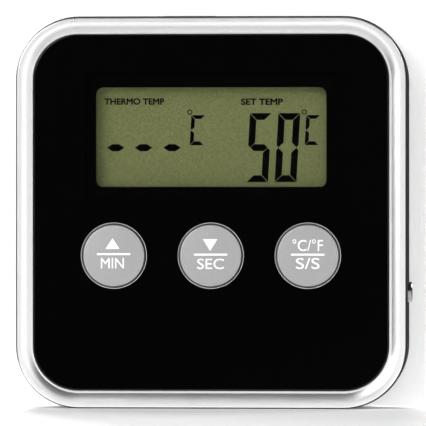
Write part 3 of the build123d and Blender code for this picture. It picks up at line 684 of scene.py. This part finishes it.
# ---- Stage: floor, backdrop, camera and lights -----------------------------------------------
FLOOR_NEAR = 0.06  # radius of the only floor that the object mirrors
FLOOR_REACH = 0.9
FLOOR_STEPS = 64
FLOOR_FADE = (0.35, 0.85)  # distances from the middle where the floor starts and ends its fade to white
FLOOR_GLOW = 0.12
FLOOR_SHEEN = 0.38  # more of the floor in what the glossy parts mirror
WALL_REACH = 0.45
WALL_GAP = 0.25 * MM
WALL_FADE = (0.16, 0.42)
WALL_GLOW = 0.25
SKY_GLOW = 0.02
LOW_GLOW = 0.6  # the white table, as the sloping parts of the ring see it
LOW_START, LOW_FULL = -0.2, -0.36  # heights on a unit sphere where that glow starts and is full


def stage_paint(name, axes, fade_range, one_sided, glow, sheen):
    """White card that glows a little, more in reflections, and fades out with distance along some axes."""
    paint = Paint(name).set(Roughness=0.9, Specular_IOR_Level=0.0, Emission_Color=(1.0, 1.0, 1.0, 1.0))
    path = paint.nodes.new("ShaderNodeLightPath")
    paint.range(path.outputs["Is Glossy Ray"], "Emission Strength", glow, glow + sheen)
    paint.colour(paint.noise(8.0), grey(0.80), grey(0.82))
    length = paint.nodes.new("ShaderNodeVectorMath")
    length.operation = "LENGTH"
    flat = paint.nodes.new("ShaderNodeMapping")
    flat.inputs["Scale"].default_value = axes
    paint.link(paint.where, flat.inputs["Vector"])
    paint.link(flat.outputs["Vector"], length.inputs[0])
    fade = paint.nodes.new("ShaderNodeMapRange")
    fade.interpolation_type = "SMOOTHSTEP"
    fade.inputs["From Min"].default_value, fade.inputs["From Max"].default_value = fade_range
    paint.link(length.outputs["Value"], fade.inputs["Value"])
    clearness = fade.outputs["Result"]
    if one_sided:
        behind = paint.nodes.new("ShaderNodeNewGeometry").outputs["Backfacing"]
        clearness = paint.math("MAXIMUM", behind, clearness)
    through = paint.nodes.new("ShaderNodeBsdfTransparent")
    faded = paint.mix(clearness, paint.shader.outputs["BSDF"], through.outputs["BSDF"])
    paint.link(faded, paint.output.inputs["Surface"])
    return paint.material


def card(name, corners, material):
    """A flat four-cornered backdrop."""
    piece = new_object(name, mesh_from(name, corners, [(0, 1, 2, 3)]))
    piece.data.materials.append(material)
    return piece


def floor_ring(name, inner, outer, material):
    """A flat ring of floor round the object, or a disc where inner is 0."""
    points = [(x, y, 0.0) for x, y in circle(outer, FLOOR_STEPS)]
    faces = [tuple(range(FLOOR_STEPS))]
    if inner:
        points += [(x, y, 0.0) for x, y in circle(inner, FLOOR_STEPS)]
        pairs = [(i, (i + 1) % FLOOR_STEPS) for i in range(FLOOR_STEPS)]
        faces = [(i, j, FLOOR_STEPS + j, FLOOR_STEPS + i) for i, j in pairs]
    piece = new_object(name, mesh_from(name, points, faces))
    piece.data.materials.append(material)
    return piece


floor_paint = stage_paint(
    "floor_card",
    axes=(1.0, 1.0, 0.0),
    fade_range=FLOOR_FADE,
    one_sided=False,
    glow=FLOOR_GLOW,
    sheen=FLOOR_SHEEN,
)
wall_paint = stage_paint(
    "backdrop_card",
    axes=(1.0, 0.0, 1.0),
    fade_range=WALL_FADE,
    one_sided=True,
    glow=WALL_GLOW,
    sheen=0.0,
)
floor_ring("floor_near", 0.0, FLOOR_NEAR, floor_paint)
floor_far = floor_ring("floor_far", FLOOR_NEAR, FLOOR_REACH, floor_paint)
wall_y = BACK_Y + WALL_GAP
wall_corners = [
    (-WALL_REACH, wall_y, 0.0),
    (WALL_REACH, wall_y, 0.0),
    (WALL_REACH, wall_y, WALL_REACH),
    (-WALL_REACH, wall_y, WALL_REACH),
]
wall = card("backdrop", wall_corners, wall_paint)
floor_far.visible_glossy = False
floor_far.visible_shadow = False
wall.visible_shadow = False
wall.visible_diffuse = False
wall.visible_glossy = False
wall.visible_transmission = False

VIEW_AZIMUTH = math.radians(3.6)
VIEW_DISTANCE = 0.9
VIEW_WIDTH = 75.8 * MM
VIEW_RIGHT = 0.43 * MM  # of the case's middle
VIEW_DOWN = 0.1 * MM
VIEW_TARGET = Vector((VIEW_RIGHT, CREST_Y, MID_Z - VIEW_DOWN))
SENSOR_WIDTH = 36.0

camera_data = bpy.data.cameras.new("camera")
camera_data.sensor_width = SENSOR_WIDTH
camera_data.lens = SENSOR_WIDTH * VIEW_DISTANCE / VIEW_WIDTH
camera_data.clip_start = 0.01
camera_data.clip_end = 20.0
camera = new_object("camera", camera_data)
view_away = Vector((math.sin(VIEW_AZIMUTH), -math.cos(VIEW_AZIMUTH), 0.0))
camera.location = VIEW_TARGET + VIEW_DISTANCE * view_away
camera.rotation_euler = (math.radians(90), 0.0, VIEW_AZIMUTH)
BLENDER.camera = camera


def softbox(name, azimuth, elevation, distance, width, height, watts):
    """A rectangular lamp aimed at the object: angles in degrees, lengths in metres, azimuth 0 in front."""
    lamp = bpy.data.lights.new(name, "AREA")
    lamp.shape = "RECTANGLE"
    lamp.size = width
    lamp.size_y = height
    lamp.energy = watts
    made = new_object(name, lamp)
    a, e = math.radians(azimuth), math.radians(elevation)
    away = Vector((math.sin(a) * math.cos(e), -math.cos(a) * math.cos(e), math.sin(e)))
    made.location = Vector((0.0, 0.0, MID_Z)) + away * distance
    made.rotation_euler = away.to_track_quat("Z", "Y").to_euler()
    return made


# In front of the object.
softbox("key", -36, 22, 1.0, 0.5, 0.5, 3.8)
softbox("left", -22.5, 0, 1.1, 0.53, 0.5, 0.6)
softbox("front_low", -4, -11, 1.1, 0.5, 0.25, 0.4)
softbox("right_near", 15.5, 0, 1.1, 0.56, 0.5, 1.15)
softbox("right_wide", 52.5, 0, 1.1, 0.91, 0.59, 1.5)
softbox("sheen", -19, 14, 1.1, 0.2, 0.2, 0.65)

# Behind it.
softbox("hair", 190, 36, 1.0, 0.4, 0.3, 15.0).visible_glossy = False
softbox("rear_left", 228, 25, 1.2, 0.6, 0.6, 6.0)
softbox("rear_right", 120, 30, 1.2, 0.6, 0.6, 6.5)

# A wide soft light that lifts shadows and shows in no reflection.
softbox("ambient", -14, 32, 0.9, 1.4, 1.2, 7.6).visible_glossy = False

world = bpy.data.worlds.new("studio")
BLENDER.world = world
world.use_nodes = True
sky = world.node_tree
sky_shade = sky.nodes["Background"]
sky_shade.inputs["Color"].default_value = (1.0, 1.0, 1.0, 1.0)
direction = sky.nodes.new("ShaderNodeSeparateXYZ")
sky.links.new(sky.nodes.new("ShaderNodeTexCoord").outputs["Generated"], direction.inputs["Vector"])
below = sky.nodes.new("ShaderNodeMapRange")
below.interpolation_type = "SMOOTHSTEP"
below.inputs["From Min"].default_value = LOW_START
below.inputs["From Max"].default_value = LOW_FULL
below.inputs["To Min"].default_value = SKY_GLOW
below.inputs["To Max"].default_value = LOW_GLOW
sky.links.new(direction.outputs["Z"], below.inputs["Value"])
seen = sky.nodes.new("ShaderNodeLightPath")
brighter = sky.nodes.new("ShaderNodeMath")
brighter.operation = "MAXIMUM"
sky.links.new(seen.outputs["Is Camera Ray"], brighter.inputs[0])
sky.links.new(below.outputs["Result"], brighter.inputs[1])
sky.links.new(brighter.outputs["Value"], sky_shade.inputs["Strength"])
BLENDER.view_settings.view_transform = "Standard"
